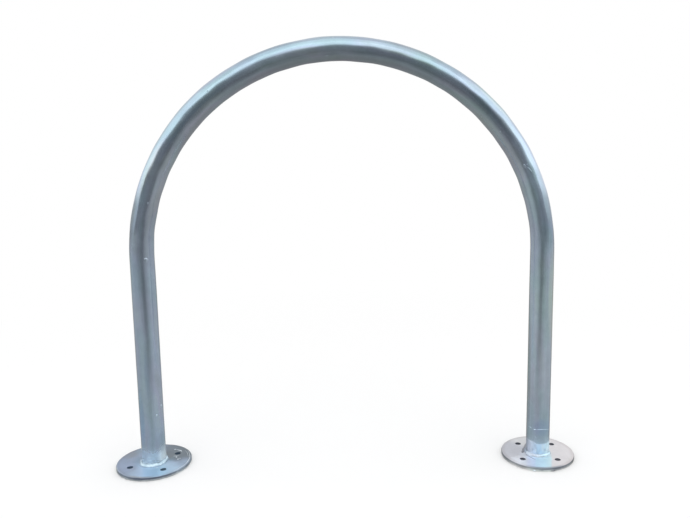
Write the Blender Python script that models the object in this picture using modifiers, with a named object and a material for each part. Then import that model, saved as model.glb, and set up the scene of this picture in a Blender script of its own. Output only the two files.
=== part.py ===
"""Hoop bike stand: one bent steel tube, welded upright onto two round bolt-down base plates.

Metres, +Z up. The origin is on the ground, midway between the two plates. +X runs from the
left leg to the right leg, and +Y points to the far side of the hoop.
"""

import math

import bmesh
import bpy
from mathutils import Matrix

# Hoop tube, a standard 40 mm nominal bore pipe bent through half a turn
TUBE_DIAMETER = 0.0483
TUBE_WALL = 0.0032
LEG_SPACING = 0.800
STRAIGHT_LEG = 0.4275

# Base plates
PLATE_DIAMETER = 0.150
PLATE_THICKNESS = 0.008
PLATE_EDGE_ROUND = 0.001
DRAIN_HOLE_DIAMETER = 0.020
BOLT_HOLE_DIAMETER = 0.012
BOLT_HOLE_COUNT = 4
BOLT_EDGE_DISTANCE = 0.025
FIRST_BOLT_ANGLE = math.radians(45)
LEFT_PLATE_TURN = math.radians(-9.2)
RIGHT_PLATE_TURN = math.radians(-5.0)

# Weld beads round the foot of each leg
WELD_LEG = 0.0065
WELD_CROWN = 0.0009
WELD_SWELL = 0.10
WELD_SWELL_COUNT = 9
WELD_RIPPLE = 0.035
WELD_RIPPLE_COUNT = 32

# Clearance left where two pieces touch, and how far a cutter runs past the faces it cuts
SEAT_GAP = 0.0003
CUTTER_OVERRUN = 0.004

# Zinc coats: linear base colour and roughness
TUBE_COLOUR = (0.34, 0.39, 0.43)
LEFT_PLATE_COLOUR = (0.42, 0.46, 0.55)
RIGHT_PLATE_COLOUR = (0.52, 0.53, 0.55)
WELD_COLOUR = (0.46, 0.53, 0.58)
TUBE_ROUGHNESS = 0.30
PLATE_ROUGHNESS = 0.32
WELD_ROUGHNESS = 0.24

# Mesh fineness
TUBE_SIDES = 32
ARCH_STEPS = 48
PLATE_SIDES = 72
EDGE_STEPS = 3
HOLE_SIDES = 32
BEAD_STEPS = 128
BEAD_FACE_STEPS = 5

# Places worked out from the sizes above
LEG_OFFSET = LEG_SPACING / 2
TUBE_FOOT = PLATE_THICKNESS + SEAT_GAP
ARCH_CENTRE = TUBE_FOOT + STRAIGHT_LEG
BOLT_CIRCLE_RADIUS = PLATE_DIAMETER / 2 - BOLT_EDGE_DISTANCE
BEAD_SEAT_RADIUS = TUBE_DIAMETER / 2 + SEAT_GAP

SHARP_ANGLE = math.radians(30)
MERGE_DISTANCE = 0.00001


def clear_scene():
    for obj in list(bpy.data.objects):
        bpy.data.objects.remove(obj, do_unlink=True)


def new_collection(name):
    collection = bpy.data.collections.new(name)
    bpy.context.scene.collection.children.link(collection)
    return collection


def new_object(name, data, collection, parent=None):
    obj = bpy.data.objects.new(name, data)
    collection.objects.link(obj)
    obj.parent = parent
    return obj


def zinc_coat(name, colour, roughness):
    """Hot-dip galvanised steel."""
    material = bpy.data.materials.new(name)
    material.use_nodes = True
    shader = material.node_tree.nodes["Principled BSDF"]
    shader.inputs["Base Color"].default_value = (*colour, 1.0)
    shader.inputs["Metallic"].default_value = 1.0
    shader.inputs["Roughness"].default_value = roughness
    material.diffuse_color = (*colour, 1.0)
    return material


def hoop_centreline():
    """Points up the left leg, over the half-round arch and down the right leg."""
    points = [(-LEG_OFFSET, 0.0, TUBE_FOOT)]
    for step in range(ARCH_STEPS + 1):
        angle = math.pi * (1 - step / ARCH_STEPS)
        x = LEG_OFFSET * math.cos(angle)
        z = ARCH_CENTRE + LEG_OFFSET * math.sin(angle)
        points.append((x, 0.0, z))
    points.append((LEG_OFFSET, 0.0, TUBE_FOOT))
    return points


def build_hoop_tube(collection, parent):
    curve = bpy.data.curves.new("hoop_tube", "CURVE")
    curve.dimensions = "3D"
    curve.bevel_depth = TUBE_DIAMETER / 2
    curve.bevel_resolution = TUBE_SIDES // 2 - 2
    curve.use_fill_caps = False
    points = hoop_centreline()
    spline = curve.splines.new("POLY")
    spline.points.add(len(points) - 1)
    for point, place in zip(spline.points, points):
        point.co = (*place, 1.0)
    tube = new_object("hoop_tube", curve, collection, parent)
    wall = tube.modifiers.new("wall", "SOLIDIFY")
    wall.thickness = TUBE_WALL
    wall.offset = -1.0
    wall.use_even_offset = True
    tube.data.materials.append(zinc_coat("tube_zinc", TUBE_COLOUR, TUBE_ROUGHNESS))
    return tube


def turned_mesh(name, profile, steps):
    """A closed half section, drawn at +X and running down its outer side, turned about Z."""
    section = bpy.data.meshes.new(name)
    edges = [(i, (i + 1) % len(profile)) for i in range(len(profile))]
    section.from_pydata([(x, 0.0, z) for x, z in profile], edges, [])
    blank = bpy.data.objects.new(name, section)
    bpy.context.scene.collection.objects.link(blank)
    turn = blank.modifiers.new("turn", "SCREW")
    turn.axis = "Z"
    turn.angle = math.tau
    turn.steps = steps
    turn.render_steps = steps
    turn.use_merge_vertices = True
    turn.merge_threshold = MERGE_DISTANCE
    graph = bpy.context.evaluated_depsgraph_get()
    mesh = bpy.data.meshes.new_from_object(blank.evaluated_get(graph), depsgraph=graph)
    mesh.name = name
    bpy.data.objects.remove(blank)
    bpy.data.meshes.remove(section)
    return mesh


def shade_round(mesh):
    mesh.shade_smooth()
    mesh.set_sharp_from_angle(angle=SHARP_ANGLE)


def plate_profile():
    """Half section of a base plate: down its rounded rim and back to the drain hole."""
    drain = DRAIN_HOLE_DIAMETER / 2
    rim = PLATE_DIAMETER / 2 - PLATE_EDGE_ROUND
    points = [(drain, PLATE_THICKNESS)]
    upper_edge = PLATE_THICKNESS - PLATE_EDGE_ROUND
    for edge_centre, start in ((upper_edge, math.pi / 2), (PLATE_EDGE_ROUND, 0.0)):
        for step in range(EDGE_STEPS + 1):
            angle = start - math.pi / 2 * step / EDGE_STEPS
            x = rim + PLATE_EDGE_ROUND * math.cos(angle)
            z = edge_centre + PLATE_EDGE_ROUND * math.sin(angle)
            points.append((x, z))
    points.append((drain, 0.0))
    return points


def bolt_hole_cutter(name, collection, parent):
    """One upright cylinder for each bolt hole, evenly spaced on the bolt circle."""
    mesh = bpy.data.meshes.new(name)
    shape = bmesh.new()
    for hole in range(BOLT_HOLE_COUNT):
        angle = FIRST_BOLT_ANGLE + math.tau * hole / BOLT_HOLE_COUNT
        x = BOLT_CIRCLE_RADIUS * math.cos(angle)
        y = BOLT_CIRCLE_RADIUS * math.sin(angle)
        bmesh.ops.create_cone(
            shape,
            cap_ends=True,
            segments=HOLE_SIDES,
            radius1=BOLT_HOLE_DIAMETER / 2,
            radius2=BOLT_HOLE_DIAMETER / 2,
            depth=PLATE_THICKNESS + 2 * CUTTER_OVERRUN,
            matrix=Matrix.Translation((x, y, PLATE_THICKNESS / 2)),
        )
    shape.to_mesh(mesh)
    shape.free()
    cutter = new_object(name, mesh, collection, parent)
    cutter.hide_render = True
    cutter.display_type = "WIRE"
    return cutter


def build_plate(side, collection, cutters, foot, colour):
    mesh = turned_mesh(f"{side}_flange", plate_profile(), PLATE_SIDES)
    shade_round(mesh)
    mesh.materials.append(zinc_coat(f"{side}_flange_zinc", colour, PLATE_ROUGHNESS))
    plate = new_object(f"{side}_flange", mesh, collection, foot)
    holes = plate.modifiers.new("bolt_holes", "BOOLEAN")
    holes.operation = "DIFFERENCE"
    holes.solver = "EXACT"
    holes.object = bolt_hole_cutter(f"{side}_bolt_hole_cutter", cutters, foot)
    return plate


def bead_profile():
    """Half section of a fillet weld: down its crowned face and back to the corner it fills."""
    points = []
    for step in range(BEAD_FACE_STEPS + 1):
        share = step / BEAD_FACE_STEPS
        crown = WELD_CROWN * math.sin(math.pi * share) * math.sqrt(0.5)
        x = BEAD_SEAT_RADIUS + WELD_LEG * share + crown
        z = TUBE_FOOT + WELD_LEG * (1 - share) + crown
        points.append((x, z))
    points.append((BEAD_SEAT_RADIUS, TUBE_FOOT))
    return points


def bead_size_at(angle):
    """How large the hand-laid bead is at this angle round the leg, where 1 is its nominal size."""
    swell = WELD_SWELL * math.sin(WELD_SWELL_COUNT * angle)
    ripple = WELD_RIPPLE * math.sin(WELD_RIPPLE_COUNT * angle)
    return 1 + swell + ripple


def build_weld(side, collection, foot):
    """A turned fillet whose face swells and ripples, while both seats stay true."""
    mesh = turned_mesh(f"{side}_weld", bead_profile(), BEAD_STEPS)
    for vertex in mesh.vertices:
        x, y, z = vertex.co
        angle = math.atan2(y, x)
        size = bead_size_at(angle)
        radius = BEAD_SEAT_RADIUS + (math.hypot(x, y) - BEAD_SEAT_RADIUS) * size
        height = TUBE_FOOT + (z - TUBE_FOOT) * size
        vertex.co = (radius * math.cos(angle), radius * math.sin(angle), height)
    shade_round(mesh)
    mesh.materials.append(zinc_coat(f"{side}_weld_zinc", WELD_COLOUR, WELD_ROUGHNESS))
    return new_object(f"{side}_weld", mesh, collection, foot)


def build_foot(side, x, turn, plate_colour, collection, cutters, parent):
    """A base plate and its weld bead, both turned with the empty on the leg's axis."""
    foot = new_object(f"{side}_foot", None, collection, parent)
    foot.location = (x, 0.0, 0.0)
    foot.rotation_euler = (0.0, 0.0, turn)
    build_plate(side, collection, cutters, foot, plate_colour)
    build_weld(side, collection, foot)


def main():
    clear_scene()
    parts = new_collection("hoop_bike_stand")
    cutters = new_collection("hoop_bike_stand_cutters")
    stand = new_object("hoop_bike_stand", None, parts)
    build_hoop_tube(parts, stand)
    build_foot("left", -LEG_OFFSET, LEFT_PLATE_TURN, LEFT_PLATE_COLOUR, parts, cutters, stand)
    build_foot("right", LEG_OFFSET, RIGHT_PLATE_TURN, RIGHT_PLATE_COLOUR, parts, cutters, stand)
    bpy.context.view_layer.update()


main()
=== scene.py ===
"""Looks of the hoop bike stand: a galvanised tube hoop on two round base plates.

Metres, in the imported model's own frame: the origin is on the floor midway between the plates,
+X runs from the left leg to the right leg, +Y is away from the camera and +Z is up.
"""

import math

import bmesh
import bpy
from mathutils import Matrix, Vector, geometry, noise


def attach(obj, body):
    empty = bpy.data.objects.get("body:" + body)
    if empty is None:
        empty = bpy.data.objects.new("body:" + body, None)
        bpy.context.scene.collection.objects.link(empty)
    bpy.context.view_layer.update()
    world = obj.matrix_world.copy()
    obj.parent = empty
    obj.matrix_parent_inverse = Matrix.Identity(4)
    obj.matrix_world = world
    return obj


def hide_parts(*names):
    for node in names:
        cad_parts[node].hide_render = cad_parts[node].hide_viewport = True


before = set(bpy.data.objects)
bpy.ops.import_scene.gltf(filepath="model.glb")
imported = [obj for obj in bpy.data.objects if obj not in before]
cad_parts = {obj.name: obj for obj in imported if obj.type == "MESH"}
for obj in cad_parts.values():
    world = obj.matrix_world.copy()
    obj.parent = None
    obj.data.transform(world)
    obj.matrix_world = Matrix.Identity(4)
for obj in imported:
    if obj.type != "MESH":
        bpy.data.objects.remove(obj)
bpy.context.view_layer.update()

# Sizes of the stand
TUBE_RADIUS = 0.02415
TUBE_WALL = 0.0032
LEG_OFFSET = 0.400
TUBE_FOOT = 0.0083
ARCH_CENTRE = 0.4358
PLATE_RADIUS = 0.075
PLATE_THICKNESS = 0.008
DRAIN_RADIUS = 0.010
BOLT_RADIUS = 0.006
BOLT_CIRCLE = 0.050
BOLT_COUNT = 4

LEG_LENGTH = ARCH_CENTRE - TUBE_FOOT
ARCH_LENGTH = math.pi * LEG_OFFSET
PATH_LENGTH = 2 * LEG_LENGTH + ARCH_LENGTH

# Each foot: the leg's place, the first bolt hole's angle and a seed. Then the bead round the leg as
# angles with width, height, where the painted highlight on its crest lies between the pipe and the
# plate, how deep its painted shade is, and how wide the painted highlight is. The dark seam round
# it, a painted contact shadow and dross line, has radius, strength, middle, inner and outer angle.
# Then the zinc on the plate: lumps are x, y, length, width and height, drips on the rim are angle,
# width, reach and mark, and runs and arcs end with width, height and mark. A mark is above 0 for
# dark zinc and below 0 for light, and the light of the arcs is a painted highlight.
SIDES = {
    "left": {
        "x": -LEG_OFFSET,
        "turn": math.radians(35.8),
        "seed": 3.1,
        "bead": [
            (-175, 0.0054, 0.0048, 0.55, 0.35), (-150, 0.0052, 0.0046, 0.56, 0.24),
            (-125, 0.0066, 0.0042, 0.7, 0), (-100, 0.0064, 0.0052, 0.63, 0),
            (-72, 0.006, 0.0056, 0.6, 0), (-40, 0.0058, 0.0058, 0.56, 0),
            (-10, 0.004, 0.0064, 0.44, 0), (90, 0.0055, 0.0055, 0.5, 0),
        ],
        "highlight_breadth": 0.4,
        "toe": (0.0325, 0.36, -85, 40, 70),
        "lumps": [
            (-0.3576, 0.0118, 0.003, 0.004, 0.0006),
            (-0.3521, 0.0025, 0.0026, 0.0034, 0.0005),
            (-0.349, 0.006, 0.002, 0.0022, 0.0004),
            (-0.37, 0.048, 0.0034, 0.0028, 0.0005),
            (-0.385, -0.033, 0.006, 0.0016, 0.0003),
        ],
        "drips": [(-121, 0.004, 0.0009, 0.2), (38, 0.0045, 0.0009, 0)],
        "runs": [
            (((-0.367, 0.047), (-0.356, 0.042), (-0.352, 0.036)), 0.0022, 0.0005, -0.9),
            (((-0.365, 0.016), (-0.353, 0.018)), 0.0018, 0.0004, -0.8),
        ],
        # The arcs are raised lines of zinc whose light colour is a painted highlight along the rim's top
        # edge
        "arcs": [
            (0.0712, -42, 34, 0.002, 0.00045, -0.7),
            (0.0675, 10, 40, 0.0014, 0.0003, -0.5),
            (0.0728, -176, -112, 0.0012, 0.0002, -0.4),
        ],
    },
    "right": {
        "x": LEG_OFFSET,
        "turn": math.radians(40),
        "seed": 7.7,
        "bead": [
            (-171, 0.0033, 0.0046, 0.56, 0.7), (-160, 0.0038, 0.0048, 0.56, 0.05),
            (-146, 0.0044, 0.005, 0.52, 0), (-130, 0.004, 0.005, 0.46, 0),
            (-104, 0.0046, 0.0048, 0.48, 0), (-90, 0.0036, 0.0048, 0.42, 0),
            (-65, 0.0038, 0.005, 0.42, 0), (-35, 0.0036, 0.0046, 0.46, 0),
            (-10, 0.0024, 0.0044, 0.5, 0), (90, 0.0045, 0.0046, 0.5, 0),
            (150, 0.0036, 0.0044, 0.5, 0.7),
        ],
        "highlight_breadth": 0.48,
        "toe": (0.0282, 0.12, -88, 8, 26),
        "lumps": [(0.37, 0.03, 0.0026, 0.003, 0.0005), (0.408, -0.033, 0.007, 0.0014, 0.0003)],
        "drips": [(-109, 0.0066, 0.0022, -0.8), (-80, 0.011, 0.0006, 0.6), (140, 0.0045, 0.0009, 0)],
        "runs": [
            (((0.385, 0.038), (0.3807, 0.0249), (0.3781, 0.018), (0.3735, 0.0089), (0.3687, -0.0014),
              (0.3665, -0.006)), 0.0105, 0.0005, 0.76),
            (((0.3716, -0.013), (0.381, -0.029), (0.387, -0.0385)), 0.004, 0.0005, 0.52),
        ],
        # The arcs are raised lines of zinc whose light colour is a painted highlight, on the rim and
        # before the bead
        "arcs": [
            (0.072, 25, 75, 0.0014, 0.0003, -0.3),
            (0.035, -101, -72, 0.0024, 0.0003, -0.35),
        ],
    },
}

# Fineness of the meshes, with finer rings in a zone above each of the pipe's feet
TUBE_SIDES = 96
TUBE_STEP = 0.004
FOOT_ZONE = 0.05
BORE_SIDES = 32
BORE_STEP = 0.03
RIM_SIDES = 240
HOLE_SIDES = 48
CORNER_STEPS = 4
TOP_SPACING = 0.003
LEG_RUN_STEPS = 9
PLATE_RUN_STEPS = 16
ARC_STEPS = 48
BEAD_STEPS = 288
BEAD_FACE_STEPS = 12

# How far the zinc skin lies inside the pipe's true radius: at the feet, further on the legs and on
# the bend, in waves as (pitch, depth), and the least that it may be. Then the lengths over which it
# changes, above the feet and at the ends of the bend.
SKIN_FEET = 0.0001
SKIN_LEGS = 0.0001
SKIN_BEND = 0.00034
SKIN_WAVES = ((52, 0.0008), (24, 0.00036))
SKIN_LEAST = 0.00006
SKIN_FEET_FADE = 0.08
SKIN_BEND_FADE = 0.12

# Edges of the plates: their rounding, how far round it the edge loops reach, and their unevenness
RIM_LIP = 0.0017
HOLE_LIP = 0.0006
LIP_REACH = 2.2
RIM_WOBBLE = 0.0003
HOLE_WOBBLE = 0.00015
TOP_WOBBLE = 0.00008

# Zinc set on the surfaces: how deep its lower side is sunk, how far an arc wanders from its radius,
# and a drip's height, place and depth
TOP_SINK = 0.0001
RUN_EDGE_SINK = 0.00015
RUN_KEEL = 0.0005
ARC_WANDER = 0.0006
DRIP_TALL = 0.0034
DRIP_MIDDLE = 0.0019
DRIP_SINK = 0.0008

# The weld beads: how far they are sunk in the pipe and the plate and stand proud of them at their
# toes, and the crescents round them
BEAD_IN_TUBE = 0.0004
BEAD_IN_PLATE = 0.0003
BEAD_TOE = 0.0001
BEAD_CRESCENTS = 44
CRESCENT_HEIGHT = 0.0003

# Painted light and shade: how light the tube's zinc is painted at shares of its length, from the
# left foot to the right one
PAINTED_SHADE_ALONG = [
    (0, 1.12), (0.025, 1.04), (0.06, 1), (0.14, 1.05), (0.19, 1.03), (0.235, 0.93), (0.285, 0.9),
    (0.35, 0.85), (0.48, 0.79), (0.55, 0.79), (0.65, 0.8), (0.69, 0.95), (0.72, 1.03), (0.77, 1),
    (0.81, 1.12), (0.85, 1.17), (0.91, 1.19), (0.96, 1.11), (1, 1.18),
]

# Painted light and shade across the zinc, from the inner side of the bend to its outer side: a
# painted highlight towards the outer side of the arch and painted shade on its inner side, and
# painted light on the inner side of the lower legs
ARCH_PAINTED_LIGHT = [
    (0, (0.95, 0.86, 0.81)), (0.25, (0.96, 0.92, 0.89)), (0.45, (1.03, 1.05, 1.07)),
    (0.62, (1.05, 1.09, 1.1)), (0.71, (1.1, 1.16, 1.14)), (0.8, (1.02, 1.07, 1.06)),
    (0.9, (1, 0.98, 0.98)), (1, (0.92, 0.88, 0.88)),
]
LEG_PAINTED_LIGHT = [(0, (1.24, 1.22, 1.22)), (0.16, (1.2, 1.18, 1.2)), (0.42, (1, 1, 1))]

# The tube's own colours, and the colour that they are drawn towards
TUBE_BLUES = [
    (0.34, (0.46, 0.62, 0.69)), (0.45, (0.48, 0.62, 0.74)), (0.56, (0.52, 0.6, 0.76)),
    (0.66, (0.52, 0.61, 0.71)),
]
TUBE_MEAN = (0.495, 0.612, 0.725)

# Painted reflection of the plate low on the legs, from the inner side of the bend to its outer side
LEFT_FOOT_REFLECTION = [
    (0, (0.84, 0.95, 1)), (0.11, (0.82, 0.95, 1)), (0.17, (0.64, 0.78, 0.88)),
    (0.26, (0.51, 0.66, 0.79)), (0.5, (0.5, 0.65, 0.785)),
]
RIGHT_FOOT_REFLECTION = [
    (0, (0.32, 0.37, 0.45)), (0.06, (0.58, 0.66, 0.8)), (0.13, (0.63, 0.74, 0.89)),
    (0.36, (0.55, 0.74, 0.94)), (0.6, (0.56, 0.78, 1)), (0.78, (0.64, 0.88, 1)),
    (0.92, (0.62, 0.84, 0.96)),
]

# Soft patches of painted light and shade on the tube: share of its length and spread, place from
# the inner side (-1) to the outer side (1) and spread, and tint
TUBE_PAINTED_PATCHES = [
    # Left leg and bend
    (0.043, 0.034, 0.64, 0.34, (0.82, 0.9, 0.97)),
    (0.053, 0.028, -0.66, 0.34, (1.18, 1.14, 1.18)),
    (0.091, 0.024, -0.12, 0.22, (0.86, 0.9, 0.92)),
    (0.19, 0.03, 0.24, 0.4, (0.93, 0.93, 0.96)),
    (0.2355, 0.02, 0.76, 0.26, (0.84, 0.84, 0.8)),
    (0.286, 0.03, 0.46, 0.28, (1.15, 1.06, 0.97)),
    (0.286, 0.034, -0.7, 0.5, (1.14, 1.16, 1.14)),
    # Rise to the crown
    (0.345, 0.045, -0.12, 0.16, (0.8, 0.82, 0.85)),
    (0.351, 0.035, -0.48, 0.3, (1.24, 1.18, 1.18)),
    (0.434, 0.032, 0.72, 0.34, (0.86, 0.86, 0.9)),
    (0.434, 0.03, 0.2, 0.14, (0.82, 0.82, 0.82)),
    (0.465, 0.06, -0.16, 0.36, (1.24, 1.24, 1.18)),
    (0.49, 0.1, -0.84, 0.34, (0.88, 0.86, 0.84)),
    # Fall from the crown and right bend
    (0.566, 0.03, 0.72, 0.34, (0.86, 0.87, 0.82)),
    (0.566, 0.028, 0.16, 0.18, (0.88, 0.9, 0.82)),
    (0.652, 0.035, -0.02, 0.2, (0.68, 0.72, 0.72)),
    (0.649, 0.025, 0.84, 0.26, (1.2, 1.2, 1.08)),
    (0.649, 0.04, -0.7, 0.36, (1.12, 1.2, 1.1)),
    (0.715, 0.022, 0.28, 0.2, (1.18, 1.2, 1.16)),
    (0.745, 0.045, -0.35, 0.45, (1.14, 1.18, 1.16)),
    (0.766, 0.026, 0.35, 0.6, (0.74, 0.76, 0.78)),
    # Right leg
    (0.838, 0.05, 0.7, 0.34, (1.18, 1.13, 1)),
    (0.83, 0.045, -0.3, 0.5, (1.02, 1.12, 1.04)),
    (0.93, 0.085, -1, 0.14, (0.74, 0.76, 0.72)),
    (0.971, 0.01, 0.1, 0.8, (0.9, 0.94, 1.04)),
]

# Zinc of the plates. Sectors, glow round the leg, worn places, rim patches and rim tints are middle,
# inner and outer angle in degrees, and colour or tint; the sectors, the glow, the rim patches and the
# rim tints are painted light and shade. The reflection strip before the leg, a painted reflection, is
# its lean, its left and right edges as spans, and its colours across. The rim's colours go from its
# foot to its top edge, lighter at the foot as a painted reflection of the floor and darker above as
# painted shade. The painted dark edge is the sector where the top's edge has painted shade, and the
# last colour is the holes', painted shade in them.
PLATE_COATS = {
    "left": {
        "base": (0.24, 0.305, 0.42),
        "sectors": [
            (-150, 12, 34, (0.262, 0.333, 0.468)), (110, 14, 36, (0.245, 0.355, 0.515)),
            (-62, 12, 66, (0.38, 0.525, 0.685)), (41, 12, 56, (0.13, 0.165, 0.2)),
        ],
        "reflection_strip": (
            -0.32, (-0.044, -0.022), (0.01, 0.036, 1, 0),
            [(0, (0.38, 0.51, 0.72)), (0.45, (0.43, 0.61, 0.8)), (1, (0.43, 0.62, 0.79))],
        ),
        "glow": [
            (-68, 26, 44, (1.24, 1.15, 1.11)), (90, 50, 70, (1.1, 1.07, 1.04)),
            (-165, 34, 54, (0.87, 0.96, 0.96)), (12, 14, 32, (1.06, 1.16, 1.18)),
        ],
        "worn": [(142, 12, 34, (0.9, 0.83, 0.74))],
        "rim": [
            (0.08, (0.6, 0.64, 0.65)), (0.34, (0.41, 0.46, 0.49)), (0.56, (0.21, 0.25, 0.31)),
            (0.86, (0.17, 0.21, 0.265)), (0.99, (0.3, 0.36, 0.44)),
        ],
        "rim_patches": [(178, 12, 44, (0.5, 0.54, 0.53))],
        "rim_tints": [(-30, 4, 13, (1.45, 1.45, 1.42)), (178, 12, 40, (0.86, 0.88, 0.85))],
        "painted_dark_edge": (-97, 8, 24),
        "hole": (0.09, 0.145, 0.21),
    },
    "right": {
        "base": (0.69, 0.67, 0.69),
        "sectors": [
            (112, 20, 46, (0.62, 0.63, 0.65)), (172, 18, 54, (0.49, 0.505, 0.56)),
            (-128, 10, 34, (0.72, 0.77, 0.86)),
        ],
        "reflection_strip": (
            0.27, (-0.023, -0.017), (0.0272, 0.0326, 1, 0),
            [
                (0, (0.7, 0.74, 0.87)), (0.3, (0.68, 0.78, 0.93)), (0.42, (0.68, 0.86, 0.97)),
                (0.6, (0.7, 0.88, 0.98)), (1, (0.58, 0.755, 0.83)),
            ],
        ),
        "glow": [(-150, 20, 40, (1.1, 1.15, 1.18))],
        "worn": [],
        "rim": [
            (0.08, (0.7, 0.72, 0.71)), (0.32, (0.54, 0.57, 0.58)), (0.54, (0.38, 0.41, 0.425)),
            (0.8, (0.225, 0.255, 0.28)), (0.99, (0.28, 0.3, 0.33)),
        ],
        "rim_patches": [],
        "rim_tints": [
            (176, 8, 36, (0.7, 0.69, 0.71)), (-26, 7, 20, (0.62, 0.61, 0.6)),
            (-133, 8, 20, (1.16, 1.12, 1.12)), (-100, 12, 24, (1.34, 1.4, 1.36)),
        ],
        "painted_dark_edge": (-90, 14, 36),
        "hole": (0.09, 0.1, 0.135),
    },
}

# Lumps of zinc on the tube: length along the pipe, angle from the outer side towards +Y in degrees,
# length, width, height, and a mark, which is above 0 for dark and below 0 for light
TUBE_LUMPS = [
    (0.4244, -123.5, 0.01, 0.0078, 0.001, -0.16),
    # A dark lump just below the pale one above it: a painted shadow of it
    (0.4222, -125.5, 0.003, 0.0046, 0.0005, 0.22),
    (0.5406, -112, 0.0034, 0.0028, 0.0006, -0.15),
    (0.1041, -131.8, 0.005, 0.0038, 0.001, -0.9),
    (0.1202, -163, 0.0056, 0.0036, 0.0009, -0.6),
    (1.5036, -102, 0.0078, 0.0036, 0.0005, -0.22),
    (1.504, -89.5, 0.005, 0.0024, 0.0005, 0.28),
    (0.79, -70, 0.0034, 0.0018, 0.0005, 0.3),
    (1.03, -128, 0.0028, 0.0018, 0.0005, -0.2),
    (1.42, -118, 0.003, 0.0018, 0.0005, -0.15),
    (2.0706, -116, 0.0036, 0.003, 0.0004, -0.35),
    (1.83, 40, 0.0034, 0.0024, 0.0007, -0.3),
    (0.25, 75, 0.0036, 0.0024, 0.0007, -0.3),
    (1.15, 120, 0.0034, 0.0024, 0.0006, 0.3),
]

# Runs of zinc on the pipe: (length from a foot, angle) points, then width, height and mark. The ones
# on the right leg and on the arch start from the right foot.
LEG_RUNS = {
    "left": [
        (((0.0105, -28), (0.0118, -42), (0.0128, -54)), 0.0024, 0.0003, 0.42),
        (((0.008, -30), (0.0098, -50)), 0.0022, 0.0004, -0.45),
        (((0.0175, -76), (0.0182, -88), (0.0178, -100)), 0.0024, 0.0004, -0.4),
        (((0.0106, -78), (0.0108, -97)), 0.0022, 0.0004, -0.55),
        (((0.0096, -98), (0.009, -112)), 0.0022, 0.0003, 0.4),
        (((0.0088, -116), (0.0076, -128), (0.0062, -140)), 0.0022, 0.0003, 0.42),
        (((0.0054, -54), (0.0064, -66), (0.0056, -76)), 0.002, 0.0004, -0.6),
    ],
    "right": [
        (((0.0571, -126), (0.0575, -114), (0.0583, -100), (0.0585, -90), (0.0581, -75), (0.057, -60),
          (0.0552, -45), (0.0532, -32)), 0.001, 0.00035, -0.5),
        (((0.0571, -125), (0.0576, -115)), 0.002, 0.0006, -0.9),
        (((0.0606, -158), (0.059, -140), (0.0574, -127)), 0.0024, 0.0003, -0.25),
        (((0.0266, -79), (0.018, -79), (0.008, -79)), 0.0056, 0.0006, -0.6),
        (((0.0156, -114), (0.0084, -113)), 0.0044, 0.0006, -0.7),
        (((0.0165, -50), (0.0076, -49)), 0.0052, 0.0005, -0.6),
        (((0.017, -140), (0.0064, -139)), 0.0026, 0.0004, -0.4),
        (((0.0165, -126), (0.011, -127)), 0.003, 0.0003, 0.35),
        (((0.016, -66), (0.0105, -66)), 0.003, 0.0003, 0.38),
        # A dark line just above the bead: a painted shadow
        (((0.0068, -136), (0.0062, -128), (0.0054, -112), (0.0052, -98), (0.0056, -80), (0.0062, -62),
          (0.0062, -42)), 0.0016, 0.0003, 0.2),
    ],
    "arch": [(((0.604, -92), (0.598, -86), (0.5905, -81)), 0.0022, 0.0003, -0.2)],
}

# The camera, at the photograph's viewing angle: place, turn in degrees, and the shift of its frame
CAMERA_PLACE = (0.0313, -1.3621, 0.6752)
CAMERA_YAW = 1.566
CAMERA_PITCH = 8.287
CAMERA_ROLL = -0.615
CAMERA_LENS = 36
CAMERA_SHIFT = (-0.0474, -0.0372)

# Softboxes: place, width and height, and level, where 1 is white. All face one point of the stand.
SOFTBOX_TARGET = (0, 0, 0.6)
SOFTBOXES = {
    "front_softbox": ((0, -2.3, 2.9), (5, 2.2), 0.4),
    "top_softbox": ((0, -0.6, 4), (4, 2.5), 0.33),
    "left_softbox": ((-3, -0.5, 2.1), (4, 2.2), 0.28),
    "right_softbox": ((3, -0.5, 2.5), (4, 2.2), 0.38),
}

# The floor, and how far out it turns pure white
FLOOR_REACH = 45
FLOOR_SIDES = 64
FLOOR_FADE = (0.5, 1.7)


# Nodes


def add(kind, inputs=None, tree=None, **settings):
    """A new node in the tree of the sockets among its inputs, or in the given tree.

    An input given a socket is linked to it, and any other value is set on it.
    """
    inputs = inputs or {}
    sockets = {key: value for key, value in inputs.items() if isinstance(value, bpy.types.NodeSocket)}
    for socket in sockets.values():
        tree = socket.id_data
    node = tree.nodes.new(kind)
    for name, value in settings.items():
        setattr(node, name, value)
    for key, value in inputs.items():
        if key in sockets:
            tree.links.new(value, node.inputs[key])
        else:
            node.inputs[key].default_value = value
    return node


def calc(operation, first, second=0.0, third=0.0):
    inputs = {0: first, 1: second, 2: third}
    return add("ShaderNodeMath", inputs, operation=operation).outputs[0]


def times(first, second):
    return calc("MULTIPLY", first, second)


def plus(first, second):
    return calc("ADD", first, second)


def minus(first, second):
    return calc("SUBTRACT", first, second)


def stretch(vector, scale):
    node = add("ShaderNodeMapping", {"Vector": vector, "Scale": scale})
    return node.outputs[0]


def cloud(vector, scale, detail):
    inputs = {"Vector": vector, "Scale": scale, "Detail": detail}
    return add("ShaderNodeTexNoise", inputs).outputs["Fac"]


def ramp(fac, stops, smooth=False):
    """A colour ramp through (place, colour) stops."""
    node = add("ShaderNodeValToRGB", {"Fac": fac})
    elements = node.color_ramp.elements
    while len(elements) < len(stops):
        elements.new(0.5)
    for element, (place, colour) in zip(elements, stops):
        element.position = place
        element.color = (*colour, 1.0)
    if smooth:
        node.color_ramp.interpolation = "EASE"
    return node.outputs["Color"]


def span(value, low, high, start=0.0, end=1.0):
    """The value stretched from low..high to start..end, and held there."""
    inputs = {"Value": value, "From Min": low, "From Max": high, "To Min": start, "To Max": end}
    node = add("ShaderNodeMapRange", inputs, interpolation_type="SMOOTHSTEP")
    return node.outputs["Result"]


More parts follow.
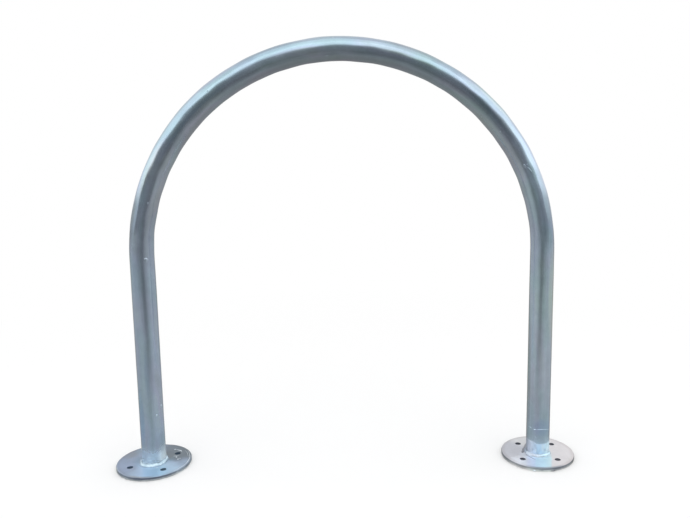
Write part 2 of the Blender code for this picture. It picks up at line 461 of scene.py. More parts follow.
def blend(fac, first, second, how="MIX"):
    """The first colour mixed with the second one, or multiplied by it, as far as fac says."""
    inputs = {0: fac}
    for key, colour in ((6, first), (7, second)):
        inputs[key] = (*colour, 1.0) if isinstance(colour, tuple) else colour
    return add("ShaderNodeMix", inputs, data_type="RGBA", blend_type=how).outputs[2]


def grey(value):
    """A grey colour as bright as the value."""
    return add("ShaderNodeCombineColor", {0: value, 1: value, 2: value}).outputs[0]


def tinted(fac, colour, tint):
    """The colour multiplied by a tint, as far as fac says."""
    return blend(fac, colour, tint, "MULTIPLY")


def tone(colour, value):
    """The colour made lighter or darker by a factor."""
    return tinted(1.0, colour, grey(value))


def attribute(tree, name, output="Fac"):
    """What the mesh's points hold under a name."""
    return add("ShaderNodeAttribute", tree=tree, attribute_name=name).outputs[output]


def object_place(tree):
    return add("ShaderNodeTexCoord", tree=tree).outputs["Object"]


def blank_material(name):
    material = bpy.data.materials.new(name)
    material.use_nodes = True
    tree = material.node_tree
    tree.nodes.clear()
    return material, tree


def finish_metal(colour, metallic, roughness, normal):
    inputs = {"Base Color": colour, "Metallic": metallic, "Roughness": roughness, "Normal": normal}
    shader = add("ShaderNodeBsdfPrincipled", inputs)
    add("ShaderNodeOutputMaterial", {"Surface": shader.outputs[0]})


# Zinc coats


def zinc_grain(vector, colour, base_roughness):
    """Spangle, cloudiness, specks and uneven skin shared by every zinc surface."""
    patches = span(cloud(vector, 40, 3), 0.3, 0.7, 0.97, 1.03)
    crystals = add("ShaderNodeTexVoronoi", {"Vector": vector, "Scale": 150.0})
    crystal = add("ShaderNodeSeparateColor", {0: crystals.outputs["Color"]})
    spangle = span(crystal.outputs[0], 0.0, 1.0, 0.985, 1.015)
    colour = tone(colour, times(patches, spangle))
    dots = add("ShaderNodeTexVoronoi", {"Vector": vector, "Scale": 75.0})
    speck = span(dots.outputs["Distance"], 0.03, 0.075, 1.0, 0.0)
    sparse = span(cloud(vector, 23, 1), 0.6, 0.64)
    colour = blend(times(speck, sparse), colour, (0.72, 0.78, 0.82))
    satin = span(cloud(vector, 38, 3), 0.3, 0.7, -0.03, 0.04)
    polish = span(crystal.outputs[1], 0.0, 1.0, -0.01, 0.01)
    roughness = plus(plus(satin, polish), base_roughness)
    inputs = {"Height": cloud(vector, 300, 2), "Distance": 0.00001, "Strength": 1.0}
    return colour, roughness, add("ShaderNodeBump", inputs).outputs["Normal"]


def marked(tree, colour, dark=(0.09, 0.10, 0.14), pale=(0.80, 0.88, 0.94)):
    """The colour made dark where the attribute shade is above 0, as painted shade in holes, and light
    below it.
    """
    shade = attribute(tree, "shade")
    colour = blend(calc("MAXIMUM", shade, 0.0), colour, dark)
    light = calc("MAXIMUM", times(shade, -1.0), 0.0)
    return blend(light, colour, pale)


def tube_streaks(unbent):
    """The tube's blue-grey, in patches and in streaks along the pipe."""
    colour = ramp(cloud(stretch(unbent, (1.0, 1.0, 0.3)), 36, 1), TUBE_BLUES)
    wide = span(cloud(stretch(unbent, (1.0, 1.0, 0.04)), 130, 2), 0.3, 0.7, 0.95, 1.05)
    fine = span(cloud(stretch(unbent, (1.0, 1.0, 0.02)), 400, 1), 0.3, 0.7, 0.988, 1.012)
    return blend(0.35, tone(colour, times(wide, fine)), TUBE_MEAN)


def tube_tints(tree, colour, share, across, from_end, right):
    """The colour with painted light and shade along the pipe, across it on the arch and the legs, in
    soft patches, and at the pipe's outline.
    """
    levels = [(place, (level, level, level)) for place, level in PAINTED_SHADE_ALONG]
    colour = tinted(1.0, colour, ramp(share, levels))
    arch = calc("MINIMUM", span(share, 0.19, 0.27), span(share, 0.81, 0.73))
    colour = tinted(arch, colour, ramp(across, ARCH_PAINTED_LIGHT))
    low_leg = calc("MINIMUM", span(from_end, 0.02, 0.08), span(from_end, 0.35, 0.2))
    low_leg = times(low_leg, span(share, 0.4, 0.6, 1.0, 0.65))
    colour = tinted(low_leg, colour, ramp(across, LEG_PAINTED_LIGHT, True))
    for middle, length, side, width, painted_tint in TUBE_PAINTED_PATCHES:
        way = calc("DIVIDE", minus(share, middle), length)
        aside = calc("DIVIDE", minus(across, 0.5 + side / 2), width / 2)
        far = plus(times(way, way), times(aside, aside))
        colour = tinted(span(far, 0.0, 1.4, 1.0, 0.0), colour, painted_tint)
    colour = tinted(span(share, 0.79, 0.84), colour, (1.02, 1.0, 0.95))
    # Painted shade along the pipe's outline, where it faces away from the view, off the arch
    facing = add("ShaderNodeLayerWeight", {"Blend": 0.5}, tree).outputs["Facing"]
    painted_dark_edge = times(span(facing, 0.55, 0.80), minus(1.0, arch))
    return tinted(painted_dark_edge, colour, blend(right, (0.82, 0.82, 0.78), (0.72, 0.70, 0.62)))


def tube_foot(unbent, outward, from_end, right):
    """1 in the painted reflection of the plate low on the legs: a soft zone on the left one, a tilted band
    on the right.
    """
    ragged = times(minus(cloud(unbent, 60, 2), 0.5), 0.006)
    tilt = span(outward, -0.022, -0.004, -0.0030, 0.0014)
    height = plus(plus(from_end, ragged), times(tilt, right))
    low = span(right, 0.0, 1.0, 0.004, 0.0268)
    high = span(right, 0.0, 1.0, 0.050, 0.0322)
    early = times(span(from_end, 0.030, 0.048, 0.30, 0.0), right)
    return calc("MAXIMUM", span(height, low, high, 1.0, 0.0), early)


def tube_zinc():
    """Blue-grey zinc, tinted in streaks along the pipe, with painted light and shade along and across
    it, lighter down the legs, and a painted reflection of the plate at the feet.
    """
    material, tree = blank_material("tube_zinc")
    unbent = attribute(tree, "unbent", "Vector")
    outward, _, along = add("ShaderNodeSeparateXYZ", {0: unbent}).outputs
    share = calc("DIVIDE", along, PATH_LENGTH)
    across = calc("MULTIPLY_ADD", outward, 0.5 / TUBE_RADIUS, 0.5)
    from_end = calc("MINIMUM", along, minus(PATH_LENGTH, along))
    right = span(share, 0.4, 0.6)
    colour = tube_tints(tree, tube_streaks(unbent), share, across, from_end, right)
    colour, roughness, normal = zinc_grain(unbent, colour, 0.205)
    colour = tinted(span(from_end, 0.14, 0.05), colour, (0.965, 1.0, 1.05))
    foot = tube_foot(unbent, outward, from_end, right)
    foot_reflection = blend(right, ramp(across, LEFT_FOOT_REFLECTION), ramp(across, RIGHT_FOOT_REFLECTION))
    streaks = cloud(stretch(unbent, (1.0, 1.0, 0.5)), 130, 3)
    foot_reflection = tone(foot_reflection, span(streaks, 0.35, 0.65, 0.88, 1.08))
    colour = marked(tree, blend(foot, colour, foot_reflection), pale=(0.74, 0.90, 1.0))
    dullness_and_painted_shade = times(foot, minus(1.0, right))
    roughness = calc("MULTIPLY_ADD", dullness_and_painted_shade, 0.18, roughness)
    finish_metal(colour, span(foot, 0.0, 1.0, 1.0, 0.35), roughness, normal)
    return material


def sector(spot, middle, inner, outer):
    """1 within an angle of a direction from the plate's centre, fading to 0 at a wider angle."""
    x, y = spot
    middle, inner, outer = (math.radians(value) for value in (middle, inner, outer))
    reach = calc("SQRT", plus(times(x, x), times(y, y)))
    facing = plus(times(x, math.cos(middle)), times(y, math.sin(middle)))
    facing = calc("DIVIDE", facing, calc("MAXIMUM", reach, 0.001))
    return span(facing, math.cos(outer), math.cos(inner))


def sectors(spot, colour, rows, how="MIX", limit=1.0):
    """The colour mixed with, or multiplied by, each row's colour in its sector, as far as limit says."""
    for *spread, other in rows:
        colour = blend(times(sector(spot, *spread), limit), colour, other, how)
    return colour


def plate_top(side, spot, loose, shift, radius):
    """The top face: painted light and shade by sector, the painted reflection in the strip before the
    leg, a painted glow and a painted contact shadow round it, and painted shade at the front edge.
    """
    coat = PLATE_COATS[side]
    x, y = spot
    colour = sectors(loose, coat["base"], coat["sectors"])
    lean, left, right, reflection_colours = coat["reflection_strip"]
    beside = calc("MULTIPLY_ADD", y, -lean, calc("MULTIPLY_ADD", shift, 0.15, x))
    inside = times(span(beside, *left), span(beside, *right))
    inside = times(inside, span(y, -0.008, -0.024))
    colour = blend(inside, colour, ramp(span(beside, left[0], right[0]), reflection_colours))
    colour = tinted(span(radius, 0.064, 0.072), colour, (0.90, 0.88, 0.87))
    colour = sectors(loose, colour, coat["glow"], "MULTIPLY", span(radius, 0.047, 0.034))
    # Painted shade on the top's edge in a sector at the front
    painted_dark_edge = (*coat["painted_dark_edge"], (0.29, 0.33, 0.38))
    colour = sectors(spot, colour, [painted_dark_edge], limit=span(radius, 0.068, 0.0735))
    # A painted contact shadow and dross line on the plate, round the toe of the bead
    toe, depth, *spread = SIDES[side]["toe"]
    shadow_and_dross_line = minus(calc("MULTIPLY_ADD", shift, 0.08, radius), toe)
    shadow_and_dross_line = span(calc("ABSOLUTE", shadow_and_dross_line), 0.0006, 0.0022, depth, 0.0)
    colour = sectors(spot, colour, [(*spread, (0.30, 0.38, 0.46))], limit=shadow_and_dross_line)
    return sectors(loose, colour, coat["worn"], "MULTIPLY", span(radius, 0.042, 0.058))


def plate_rim(side, spot, loose, place, height):
    """The rim: mottled zinc, lighter at its foot as a painted reflection of the floor and darker with
    height as painted shade, with patches and sectors of painted light and shade.
    """
    coat = PLATE_COATS[side]
    mottle = cloud(stretch(place, (1.0, 1.0, 1.8)), 75, 3)
    level = plus(height, span(mottle, 0.3, 0.7, -0.0006, 0.0006))
    colour = ramp(calc("DIVIDE", level, PLATE_THICKNESS), coat["rim"])
    # Painted shade on the rim's front, above its foot
    front = (-82, 8, 40, (0.66, 0.66, 0.72))
    colour = sectors(loose, colour, [front], "MULTIPLY", span(level, 0.002, 0.004))
    colour = sectors(spot, colour, coat["rim_patches"])
    return sectors(spot, colour, coat["rim_tints"], "MULTIPLY")


def plate_zinc(side):
    """Paler, duller zinc, with painted light and shade by sector, a painted reflection in a strip before
    the leg, and an uneven rim.
    """
    material, tree = blank_material(f"{side}_plate_zinc")
    place = object_place(tree)
    centre = (SIDES[side]["x"], 0.0, 0.0)
    away = add("ShaderNodeVectorMath", {0: place, 1: centre}, operation="SUBTRACT").outputs[0]
    flat = stretch(away, (1.0, 1.0, 0.0))
    radius = add("ShaderNodeVectorMath", {0: flat}, operation="LENGTH").outputs["Value"]
    x, y, z = add("ShaderNodeSeparateXYZ", {0: away}).outputs
    turned = stretch(place, (1.0, -1.0, 1.0))
    shift, other = (span(cloud(way, 32, 3), 0.25, 0.75, -0.010, 0.010) for way in (place, turned))
    loose = (plus(x, shift), plus(y, other))
    top = plate_top(side, (x, y), loose, shift, radius)
    rim = plate_rim(side, (x, y), loose, place, z)
    colour = blend(span(radius, 0.0735, 0.0744), top, rim)
    colour = marked(tree, colour, PLATE_COATS[side]["hole"])
    colour, roughness, normal = zinc_grain(place, colour, 0.33)
    finish_metal(colour, 0.5, roughness, normal)
    return material


def weld_zinc():
    """Zinc of the weld beads: a painted highlight on the crest, fading into the duller zinc at both toes.
    """
    material, tree = blank_material("weld_zinc")
    place = object_place(tree)
    x = add("ShaderNodeSeparateXYZ", {0: place}).outputs[0]
    right = span(x, -0.1, 0.1)
    coarse = times(cloud(place, 95, 3), 0.55)
    mottle = calc("MULTIPLY_ADD", cloud(place, 230, 2), 0.45, coarse)
    left_toe = ramp(mottle, [(0.40, (0.24, 0.33, 0.41)), (0.58, (0.42, 0.56, 0.68))])
    left_painted_highlight = ramp(mottle, [(0.40, (0.48, 0.64, 0.76)), (0.55, (0.62, 0.78, 0.88))])
    beside = minus(x, LEG_OFFSET - 0.5)
    right_painted_highlight = ramp(beside, [(0.492, (0.60, 0.68, 0.80)), (0.506, (0.60, 0.82, 0.93))])
    toe = blend(right, left_toe, (0.54, 0.66, 0.75))
    painted_highlight = blend(right, left_painted_highlight, right_painted_highlight)
    # The painted highlight on the crest of the bead, over the zinc at its toes
    colour = blend(span(attribute(tree, "crest"), 0.1, 0.75), toe, painted_highlight)
    # Painted shade on the bead, as far as its painted_shade value says
    colour = blend(attribute(tree, "painted_shade"), colour, (0.19, 0.25, 0.33))
    colour, roughness, normal = zinc_grain(place, colour, 0.22)
    finish_metal(colour, 0.6, roughness, normal)
    return material


# Pieces


def new_object(name, data):
    obj = bpy.data.objects.new(name, data)
    bpy.context.scene.collection.objects.link(obj)
    return obj


def new_piece(name, shape, material, node, sharp=40):
    """A shown piece that stands for a CAD node, smooth but for edges past an angle in degrees."""
    mesh = bpy.data.meshes.new(name)
    bmesh.ops.recalc_face_normals(shape, faces=shape.faces)
    shape.to_mesh(mesh)
    shape.free()
    mesh.shade_smooth()
    mesh.set_sharp_from_angle(angle=math.radians(sharp))
    mesh.materials.append(material)
    piece = new_object(name, mesh)
    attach(piece, "root")
    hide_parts(node)


def skin(shape, rings, closed=False):
    """Faces from each ring of points to the next, and from the last to the first if closed."""
    pairs = list(zip(rings, rings[1:]))
    if closed:
        pairs.append((rings[-1], rings[0]))
    for low, high in pairs:
        for i, point in enumerate(low):
            after = (i + 1) % len(low)
            shape.faces.new((point, low[after], high[after], high[i]))


def between(points, steps):
    """Places at even steps on the straight stretches between points, without the last point."""
    for start, end in zip(points, points[1:]):
        for step in range(steps):
            yield [a + (b - a) * step / steps for a, b in zip(start, end)]


def uneven(way, pitch, seed):
    return noise.noise(way * pitch + Vector((0.0, 0.0, seed)))


def on_path(along):
    """Centre of the pipe and the way out of the hoop at a length from the left foot."""
    if along <= LEG_LENGTH:
        return Vector((-LEG_OFFSET, 0.0, TUBE_FOOT + along)), Vector((-1.0, 0.0, 0.0))
    if along >= LEG_LENGTH + ARCH_LENGTH:
        return Vector((LEG_OFFSET, 0.0, TUBE_FOOT + PATH_LENGTH - along)), Vector((1.0, 0.0, 0.0))
    angle = math.pi * (1 - (along - LEG_LENGTH) / ARCH_LENGTH)
    outward = Vector((math.cos(angle), 0.0, math.sin(angle)))
    return outward * LEG_OFFSET + Vector((0.0, 0.0, ARCH_CENTRE)), outward


def steps_along(step):
    """Lengths along the pipe, closer near the feet, with one at each end of the arch."""
    lengths = []
    start = 0.0
    for length, size in ((FOOT_ZONE, step / 4), (LEG_LENGTH - FOOT_ZONE, step), (ARCH_LENGTH, step),
                         (LEG_LENGTH - FOOT_ZONE, step), (FOOT_ZONE, step / 4)):
        count = round(length / size)
        lengths += [start + length * i / count for i in range(count)]
        start += length
    return lengths + [PATH_LENGTH]


def zinc_dip(unbent):
    """How far the zinc skin lies inside the pipe's true radius here, up to about 1 mm.

    Bending has left it deeper and more wavy on the arch than on the legs, and it is even at the feet.
    """
    end = min(unbent.z, PATH_LENGTH - unbent.z)
    above_foot = min(end / SKIN_FEET_FADE, 1.0)
    bent = min(max((end - LEG_LENGTH) / SKIN_BEND_FADE + 0.5, 0.0), 1.0)
    long = Vector((unbent.x, unbent.y, unbent.z * 0.5))
    waves = sum(noise.noise(long * pitch) * depth for pitch, depth in SKIN_WAVES)
    further = SKIN_LEGS + SKIN_BEND * bent + waves * (0.2 + 0.8 * bent)
    return max(SKIN_FEET + above_foot * further, SKIN_LEAST)


def pipe_point(along, angle, radius=TUBE_RADIUS, dipped=True):
    """A point of the pipe's wall, its outward normal and the same point before the bending."""
    centre, outward = on_path(along)
    normal = outward * math.cos(angle) + Vector((0.0, math.sin(angle), 0.0))
    unbent = Vector((math.cos(angle) * radius, math.sin(angle) * radius, along))
    dip = zinc_dip(unbent) if dipped else 0.0
    return centre + normal * (radius - dip), normal, unbent


def pipe_wall(shape, layer, sides, step, radius, dipped):
    """Rings of points along the pipe, joined by faces. Gives back the first and last ring."""
    rings = []
    for along in steps_along(step):
        ring = []
        for side in range(sides):
            place, _, unbent = pipe_point(along, math.tau * side / sides, radius, dipped)
            point = shape.verts.new(place)
            point[layer] = unbent
            ring.append(point)
        rings.append(ring)
    skin(shape, rings)
    return rings[0], rings[-1]


def end_ring(shape, outer, inner):
    """The flat end of the pipe, between its outer and inner wall."""
    step = len(outer) // len(inner)
    for i, point in enumerate(inner):
        after = (i + 1) % len(inner)
        fan = [outer[(i * step + k) % len(outer)] for k in range(step + 1)]
        shape.faces.new([point, *fan, inner[after]])


def lump(shape, centre, normal, along, size, marks):
    """A low lump of zinc, its lower half sunk in the surface, with values for its points' layers."""
    across = normal.cross(along).normalized()
    along = across.cross(normal).normalized()
    axes = Matrix((along, across, normal)).transposed().to_4x4()
    place = Matrix.Translation(centre) @ axes @ Matrix.Diagonal((size[0] / 2, size[1] / 2, size[2], 1.0))
    made = bmesh.ops.create_uvsphere(shape, u_segments=16, v_segments=10, radius=1.0, matrix=place)
    for vertex in made["verts"]:
        shift = noise.noise(vertex.co * 900) * 0.18
        vertex.co += (vertex.co - centre) * shift
        for layer, value in marks.items():
            vertex[layer] = value


def ridge(shape, frames, width, height):
    """A thin run of zinc along (point, normal, marks) frames, tapered to nothing at both ends."""
    rows = []
    for number, (point, normal, marks) in enumerate(frames):
        before = frames[max(number - 1, 0)][0]
        after = frames[min(number + 1, len(frames) - 1)][0]
        across = (after - before).cross(normal).normalized()
        taper = math.sin(math.pi * (number + 0.3) / (len(frames) - 0.4)) ** 0.4
        taper *= 1.0 + 0.3 * noise.noise(point * 300)
        section = []
        for share in (quarter / 4 for quarter in range(-4, 5)):
            crown = height * taper * (0.5 + 0.5 * math.cos(math.pi * share))
            section.append((share, crown - RUN_EDGE_SINK * abs(share)))
        section += [(0.5, -RUN_KEEL), (-0.5, -RUN_KEEL)]
        row = []
        for share, up in section:
            vertex = shape.verts.new(point + across * (share * width / 2 * taper) + normal * up)
            for layer, value in marks.items():
                vertex[layer] = value
            row.append(vertex)
        rows.append(row)
    skin(shape, rows)
    shape.faces.new(rows[0])
    shape.faces.new(rows[-1])


def build_tube(material):
    """The pipe with its bore, and the lumps and runs of zinc on it."""
    shape = bmesh.new()
    layer = shape.verts.layers.float_vector.new("unbent")
    shade = shape.verts.layers.float.new("shade")
    outer = pipe_wall(shape, layer, TUBE_SIDES, TUBE_STEP, TUBE_RADIUS, True)
    inner = pipe_wall(shape, layer, BORE_SIDES, BORE_STEP, TUBE_RADIUS - TUBE_WALL, False)
    for outer_end, inner_end in zip(outer, inner):
        end_ring(shape, outer_end, inner_end)
    for along, angle, *size, mark in TUBE_LUMPS:
        point, normal, unbent = pipe_point(along, math.radians(angle))
        ahead = on_path(along + 0.001)[0] - on_path(along - 0.001)[0]
        lump(shape, point, normal, ahead, size, {layer: unbent, shade: mark})
    for place, runs in LEG_RUNS.items():
        for points, *size, mark in runs:
            frames = []
            for rise, angle in between(points, LEG_RUN_STEPS):
                along = rise if place == "left" else PATH_LENGTH - rise
                point, normal, unbent = pipe_point(along, math.radians(angle))
                frames.append((point, normal, {layer: unbent, shade: mark}))
            ridge(shape, frames, *size)
    new_piece("hoop_tube_zinc", shape, material, "hoop_tube")


def rounded_edge(shape, shade, centre, radius, inward, sides, lip, wobble):
    """One edge loop of a plate, from its underside round its wall to its top face.

    Gives back the lowest and highest ring, which the flat faces then join. inward is -1 for the
    rim and 1 for a hole, and says which way the metal lies.
    """
    turns = [math.pi / 2 * step / CORNER_STEPS for step in range(CORNER_STEPS + 1)]
    lower = [(lip * LIP_REACH, 0.0)]
    lower += [(lip * (1 - math.sin(turn)), lip * (1 - math.cos(turn))) for turn in turns]
    profile = lower + [(depth, PLATE_THICKNESS - height) for depth, height in reversed(lower)]
    rings = []
    for depth, height in profile:
        ring = []
        for side in range(sides):
            angle = math.tau * side / sides
            size = radius + inward * (depth + wobble(angle, height))
            x = centre[0] + size * math.cos(angle)
            y = centre[1] + size * math.sin(angle)
            point = shape.verts.new((x, y, height))
            # Hole walls below the lip are marked with painted shade, from 0.6 at the foot to 1 near the
            # top
            sunk = inward > 0 and height < PLATE_THICKNESS - lip * 0.8
            point[shade] = 0.6 + 0.4 * height / PLATE_THICKNESS if sunk else 0.0
            ring.append(point)
        rings.append(ring)
    skin(shape, rings)
    return rings[0], rings[-1]


def fill_face(shape, loops, inner_points, height):
    """A flat face in near even triangles inside the first loop, with a hole at each other loop.

    The loops run counterclockwise, as each triangle does. Where all the corners of a triangle are
    on one loop, it lies inside that loop if they follow each other the way the loop runs.
    """
    points = [Vector((v.co.x, v.co.y)) for loop in loops for v in loop] + inner_points
    edges = []
    owners = []
    for number, loop in enumerate(loops):
        start = len(owners)
        count = len(loop)
        edges += [(start + i, start + (i + 1) % count) for i in range(count)]
        owners += [number] * count
    owners += [None] * len(inner_points)
    verts = [v for loop in loops for v in loop] + [shape.verts.new((*p, height)) for p in inner_points]
    out = geometry.delaunay_2d_cdt(points, edges, [], 0, 0.0000001, True)
    for face in out[2]:
        corners = [out[3][i][0] for i in face]
        lowest = corners.index(min(corners))
        inside = corners[lowest - 2] < corners[lowest - 1]
        owner, *others = {owners[i] for i in corners}
        if others or owner is None or inside == (owner == 0):
            shape.faces.new([verts[i] for i in corners])


def top_points(centre, round_holes):
    """Points of an even triangular grid on a plate's top, clear of its rim and its holes."""
    points = []
    rows = int(PLATE_RADIUS / TOP_SPACING)
    for row in range(-rows, rows + 1):
        for column in range(-rows, rows + 1):
            x = centre[0] + (column + 0.5 * (row % 2)) * TOP_SPACING
            y = row * TOP_SPACING * math.sqrt(0.75)
            point = Vector((x, y))
            clear = (point - Vector(centre)).length <= PLATE_RADIUS - TOP_SPACING * 1.5
            for hole, radius in round_holes:
                clear = clear and (point - Vector(hole)).length >= radius + TOP_SPACING
            if clear:
                points.append(point)
    return points


def plate_body(shape, shade, centre, turn, seed):
    """The plate itself, with its drain hole, its bolt holes and slightly uneven faces."""

    def rim_wobble(angle, height):
        way = Vector((math.cos(angle) * 9, math.sin(angle) * 9, height * 110 + seed))
        return RIM_WOBBLE + RIM_WOBBLE * noise.noise(way)

    def hole_wobble(angle, height):
        way = Vector((math.cos(angle) * 1.5, math.sin(angle) * 1.5, height * 90 + seed))
        return HOLE_WOBBLE * noise.noise(way)

    round_holes = [(centre, DRAIN_RADIUS)]
    for number in range(BOLT_COUNT):
        angle = turn + math.tau / BOLT_COUNT * number
        spot = (centre[0] + BOLT_CIRCLE * math.cos(angle), BOLT_CIRCLE * math.sin(angle))
        round_holes.append((spot, BOLT_RADIUS))
    loops = [rounded_edge(shape, shade, centre, PLATE_RADIUS, -1, RIM_SIDES, RIM_LIP, rim_wobble)]
    for hole, radius in round_holes:
        loops.append(rounded_edge(shape, shade, hole, radius, 1, HOLE_SIDES, HOLE_LIP, hole_wobble))
    fill_face(shape, [low for low, high in loops], [], 0.0)
    fill_face(shape, [high for low, high in loops], top_points(centre, round_holes), PLATE_THICKNESS)
    for vertex in shape.verts:
        if vertex.co.z > PLATE_THICKNESS * 0.7:
            way = Vector((vertex.co.x * 45, vertex.co.y * 45, seed))
            vertex.co.z -= TOP_WOBBLE + TOP_WOBBLE * noise.noise(way)


def build_plate(side, material):
    """A base plate, with the lumps, drips, runs and arcs of zinc that have set on it."""
    shape = bmesh.new()
    shade = shape.verts.layers.float.new("shade")
    place = SIDES[side]
    seed = place["seed"]
    centre = (place["x"], 0.0)
    plate_body(shape, shade, centre, place["turn"], seed)
    up = Vector((0.0, 0.0, 1.0))
    top = PLATE_THICKNESS - TOP_SINK
    for x, y, *size in place["lumps"]:
        lump(shape, Vector((x, y, top)), up, Vector((1.0, 0.0, 0.0)), size, {shade: -0.9})
    for angle, size, reach, mark in place["drips"]:
        way = Vector((math.cos(math.radians(angle)), math.sin(math.radians(angle)), 0.0))
        spot = Vector((centre[0], 0.0, DRIP_MIDDLE)) + way * (PLATE_RADIUS - DRIP_SINK)
        lump(shape, spot, way, up, (DRIP_TALL, size, reach + DRIP_SINK), {shade: mark})
    for points, *size, mark in place["runs"]:
        frames = [(Vector((x, y, top)), up, {shade: mark}) for x, y in between(points, PLATE_RUN_STEPS)]
        ridge(shape, frames, *size)
    for radius, start, end, *size, mark in place["arcs"]:
        frames = []
        for step in range(ARC_STEPS + 1):
            angle = math.radians(start + (end - start) * step / ARC_STEPS)
            reach = radius + ARC_WANDER * noise.noise(Vector((angle * 5, seed, 0.0)))
            point = Vector((centre[0] + reach * math.cos(angle), reach * math.sin(angle), top))
            frames.append((point, up, {shade: mark}))
        ridge(shape, frames, *size)
    new_piece(f"{side}_flange_zinc", shape, material, f"{side}_flange")


def around(points, angle):
    """The values of (angle, value, ...) points at an angle in degrees, joined round the circle."""
    first, last = points[0], points[-1]
    ring = [(last[0] - 360, *last[1:]), *points, (first[0] + 360, *first[1:])]
    for low, high in zip(ring, ring[1:]):
        if angle <= high[0]:
            break
    share = (angle - low[0]) / (high[0] - low[0])
    share *= share * (3 - 2 * share)
    return [start + (end - start) * share for start, end in zip(low[1:], high[1:])]


def bead_ripple(angle, share, seed):
    """Crescents left by the weld pool, with the middle of each one dragged behind its ends."""
    drag = 0.045 * math.sin(math.pi * share)
    wander = 0.05 * noise.noise(Vector((math.cos(angle) * 4, math.sin(angle) * 4, seed + 2)))
    return abs(math.sin(BEAD_CRESCENTS / 2 * (angle - drag + wander)))


def build_weld(side, material):
    """A hand-laid fillet bead with swells and crescents, feathered onto the tube and the plate."""
    shape = bmesh.new()
    layer = shape.verts.layers.float.new("crest")
    painted_shade = shape.verts.layers.float.new("painted_shade")
    place = SIDES[side]
    seed = place["seed"]
    seat = TUBE_RADIUS - BEAD_IN_TUBE
    foot = PLATE_THICKNESS - BEAD_IN_PLATE
    rings = []
    for step in range(BEAD_STEPS):
        angle = math.tau * step / BEAD_STEPS
        way = Vector((math.cos(angle), math.sin(angle), 0.0))
        # The last value of each bead row is the depth of the bead's painted shade there
        width, height, middle, dullness_and_painted_shade = around(place["bead"], math.degrees(math.atan2(way.y, way.x)))
        wide = width * (1.0 + 0.18 * uneven(way, 2.4, seed))
        tall = height * (1.0 + 0.18 * uneven(way, 2.8, seed + 5))
        swell = min(width, height) * 0.15 * (1.0 + 0.7 * uneven(way, 4.5, seed + 9))
        middle += 0.14 * uneven(way, 5, seed)
        ring = []
        for number in range(BEAD_FACE_STEPS + 1):
            share = number / BEAD_FACE_STEPS
            arc = math.sin(math.pi * share)
            crest = (swell + CRESCENT_HEIGHT * bead_ripple(angle, share, seed)) * arc ** 1.5
            out = TUBE_RADIUS + BEAD_TOE + wide * share ** 1.25 + crest * 0.7
            up = PLATE_THICKNESS + BEAD_TOE + tall * (1 - share) ** 1.25 + crest * 0.7
            vertex = shape.verts.new((place["x"] + out * way.x, out * way.y, up))
            # crest says where the painted highlight lies on the bead, 1 at its middle
            vertex[layer] = max(1.0 - ((share - middle) / place["highlight_breadth"]) ** 2, 0.0)
            vertex[painted_shade] = dullness_and_painted_shade
            ring.append(vertex)
        for out, up in ((seat + wide, foot), (seat, foot), (seat, foot + tall)):
            ring.append(shape.verts.new((place["x"] + out * way.x, out * way.y, up)))
        rings.append(ring)
    skin(shape, rings, closed=True)
    new_piece(f"{side}_weld_bead", shape, material, f"{side}_weld", sharp=55)


# Stage


def glossy_only(obj):
    """Seen in the metal and nowhere else."""
    for ray in ("camera", "diffuse", "transmission", "volume_scatter", "shadow"):
        setattr(obj, f"visible_{ray}", False)


def new_stage(name, corners, faces, material):
    mesh = bpy.data.meshes.new(name)
    mesh.from_pydata(corners, [], faces)
    mesh.materials.append(material)
    obj = new_object(name, mesh)
    return obj


def background_rays(tree):
    """1 for camera, glossy and transmission rays, which see the white background."""
    rays = add("ShaderNodeLightPath", tree=tree).outputs
    seen = calc("MAXIMUM", rays["Is Camera Ray"], rays["Is Glossy Ray"])
    return calc("MAXIMUM", seen, rays["Is Transmission Ray"])


def floor_material():
    """Near white, and pure white further out, where it meets the white background."""
    material, tree = blank_material("pale_floor")
    place = object_place(tree)
    diffuse = add("ShaderNodeBsdfDiffuse", {"Color": (0.95, 0.95, 0.95, 1.0)}, tree)
    white = add("ShaderNodeEmission", {"Strength": 1.0}, tree)
    away = add("ShaderNodeVectorMath", {0: place}, operation="LENGTH").outputs["Value"]
    far = times(span(away, *FLOOR_FADE), background_rays(tree))
    inputs = {0: far, 1: diffuse.outputs[0], 2: white.outputs[0]}
    mixed = add("ShaderNodeMixShader", inputs)
    add("ShaderNodeOutputMaterial", {"Surface": mixed.outputs[0]})
    return material


def build_floor():
    angles = [math.tau * i / FLOOR_SIDES for i in range(FLOOR_SIDES)]
    corners = [(FLOOR_REACH * math.cos(angle), FLOOR_REACH * math.sin(angle), 0.0) for angle in angles]
    new_stage("floor", corners, [tuple(range(FLOOR_SIDES))], floor_material())


def card_material(name, level):
    """A plain grey glow whose level is worked out from the place by a function."""
    material, tree = blank_material(name)
    place = add("ShaderNodeSeparateXYZ", {0: object_place(tree)}).outputs
    shader = add("ShaderNodeEmission", {"Color": grey(level(*place)), "Strength": 1.0})
    add("ShaderNodeOutputMaterial", {"Surface": shader.outputs[0]})
    return material


def ground_level(x, y, z):
    """Mid grey, darker towards the camera's side and in the shadow where a camera stands."""
    aside = calc("ABSOLUTE", x)
    front = times(span(y, -0.5, -2.2), span(aside, 0.0, 2.8, -0.25, 0.0))
    near = span(calc("ABSOLUTE", minus(x, 0.03)), 0.12, 0.45, 1.0, 0.0)
    shadow = times(near, span(y, -0.3, -0.75, 0.0, -0.10))
    legs = span(aside, 0.0, 0.8, -0.085, 0.0)
    dark = plus(legs, plus(front, shadow))
    return plus(calc("MAXIMUM", dark, -0.255), span(aside, 2.5, 5.0, 0.48, 0.42))


def camera_level(x, y, z):
    return span(z, 0.0, 0.62, 0.19, 0.23)


def front_level(x, y, z):
    return plus(span(x, 1.0, 3.5, 0.0, 0.147), span(z, 0.9, 2.6, 0.23, 0.50))


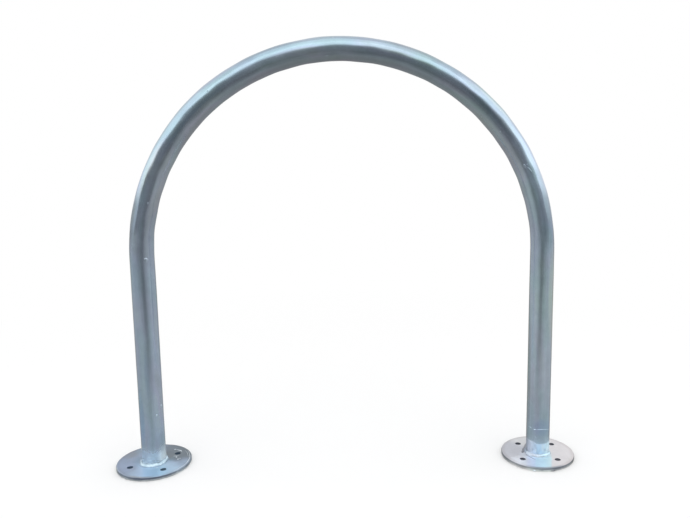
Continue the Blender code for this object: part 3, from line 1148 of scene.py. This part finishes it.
def side_level(x, y, z):
    return plus(span(x, -1.0, 1.0, 0.43, 0.586), span(z, 0.0, 1.1, 0.0, 0.14))


def build_cards():
    """Grey cards that only the metal sees: ground, front wall, low side walls and a camera's stand."""
    ground = [(-5.0, -3.0, 0.0005), (5.0, -3.0, 0.0005), (5.0, 4.5, 0.0005), (-5.0, 4.5, 0.0005)]
    skyline = [(5.0, 2.35), (2.6, 2.35), (1.4, 2.6), (0.3, 2.75), (-1.2, 2.75), (-2.4, 2.35), (-5.0, 2.35)]
    front = [(-5.0, -3.0, 0.0), (5.0, -3.0, 0.0), *((x, -3.0, z) for x, z in skyline)]
    stand = [(-0.21, -1.3, 0.0), (0.28, -1.3, 0.0), (0.28, -1.3, 0.62), (-0.21, -1.3, 0.62)]
    sides = []
    for x in (-5.0, 5.0):
        sides += [(x, -3.0, 0.0), (x, 4.5, 0.0), (x, 4.5, 1.1), (x, -3.0, 1.1)]
    flat = [(0, 1, 2, 3)]
    cards = [
        ("ground_card", ground, flat, ground_level),
        ("front_card", front, [tuple(range(len(front)))], front_level),
        ("camera_card", stand, flat, camera_level),
        ("side_cards", sides, [(0, 1, 2, 3), (4, 5, 6, 7)], side_level),
    ]
    for name, corners, faces, level in cards:
        glossy_only(new_stage(name, corners, faces, card_material(name, level)))


def build_softbox(name, place, size, level):
    """An area light whose face shines at the given level, where 1 is white."""
    data = bpy.data.lights.new(name, "AREA")
    data.shape = "RECTANGLE"
    data.size, data.size_y = size
    data.energy = level * math.pi * size[0] * size[1]
    light = new_object(name, data)
    light.location = place
    light.rotation_euler = (Vector(SOFTBOX_TARGET) - Vector(place)).to_track_quat("-Z", "Y").to_euler()
    light.visible_camera = False


def build_world():
    """A white background, and almost as white a light from all sides."""
    world = bpy.data.worlds.new("studio")
    bpy.context.scene.world = world
    world.use_nodes = True
    tree = world.node_tree
    tree.nodes.clear()
    strength = span(background_rays(tree), 0.0, 1.0, 0.92, 1.0)
    shade = add("ShaderNodeBackground", {"Color": (1.0, 1.0, 1.0, 1.0), "Strength": strength})
    add("ShaderNodeOutputWorld", {"Surface": shade.outputs[0]})


def build_camera():
    """The photograph's viewing angle, with the small shift that its framing needs."""
    yaw, pitch, roll = (math.radians(turn) for turn in (CAMERA_YAW, CAMERA_PITCH, CAMERA_ROLL))
    upright = Matrix.Rotation(-yaw, 4, "Z") @ Matrix.Rotation(math.pi / 2 - pitch, 4, "X")
    data = bpy.data.cameras.new("camera")
    data.sensor_width = 36.0
    data.lens = CAMERA_LENS
    data.shift_x, data.shift_y = CAMERA_SHIFT
    data.clip_start = 0.05
    data.clip_end = 100.0
    camera = new_object("camera", data)
    camera.matrix_world = Matrix.Translation(CAMERA_PLACE) @ upright @ Matrix.Rotation(roll, 4, "Z")
    bpy.context.scene.camera = camera


build_camera()
build_world()
build_floor()
build_cards()
for softbox, values in SOFTBOXES.items():
    build_softbox(softbox, *values)

build_tube(tube_zinc())
for side in SIDES:
    build_plate(side, plate_zinc(side))
bead_zinc = weld_zinc()
for side in SIDES:
    build_weld(side, bead_zinc)

bpy.context.scene.view_settings.view_transform = "Standard"
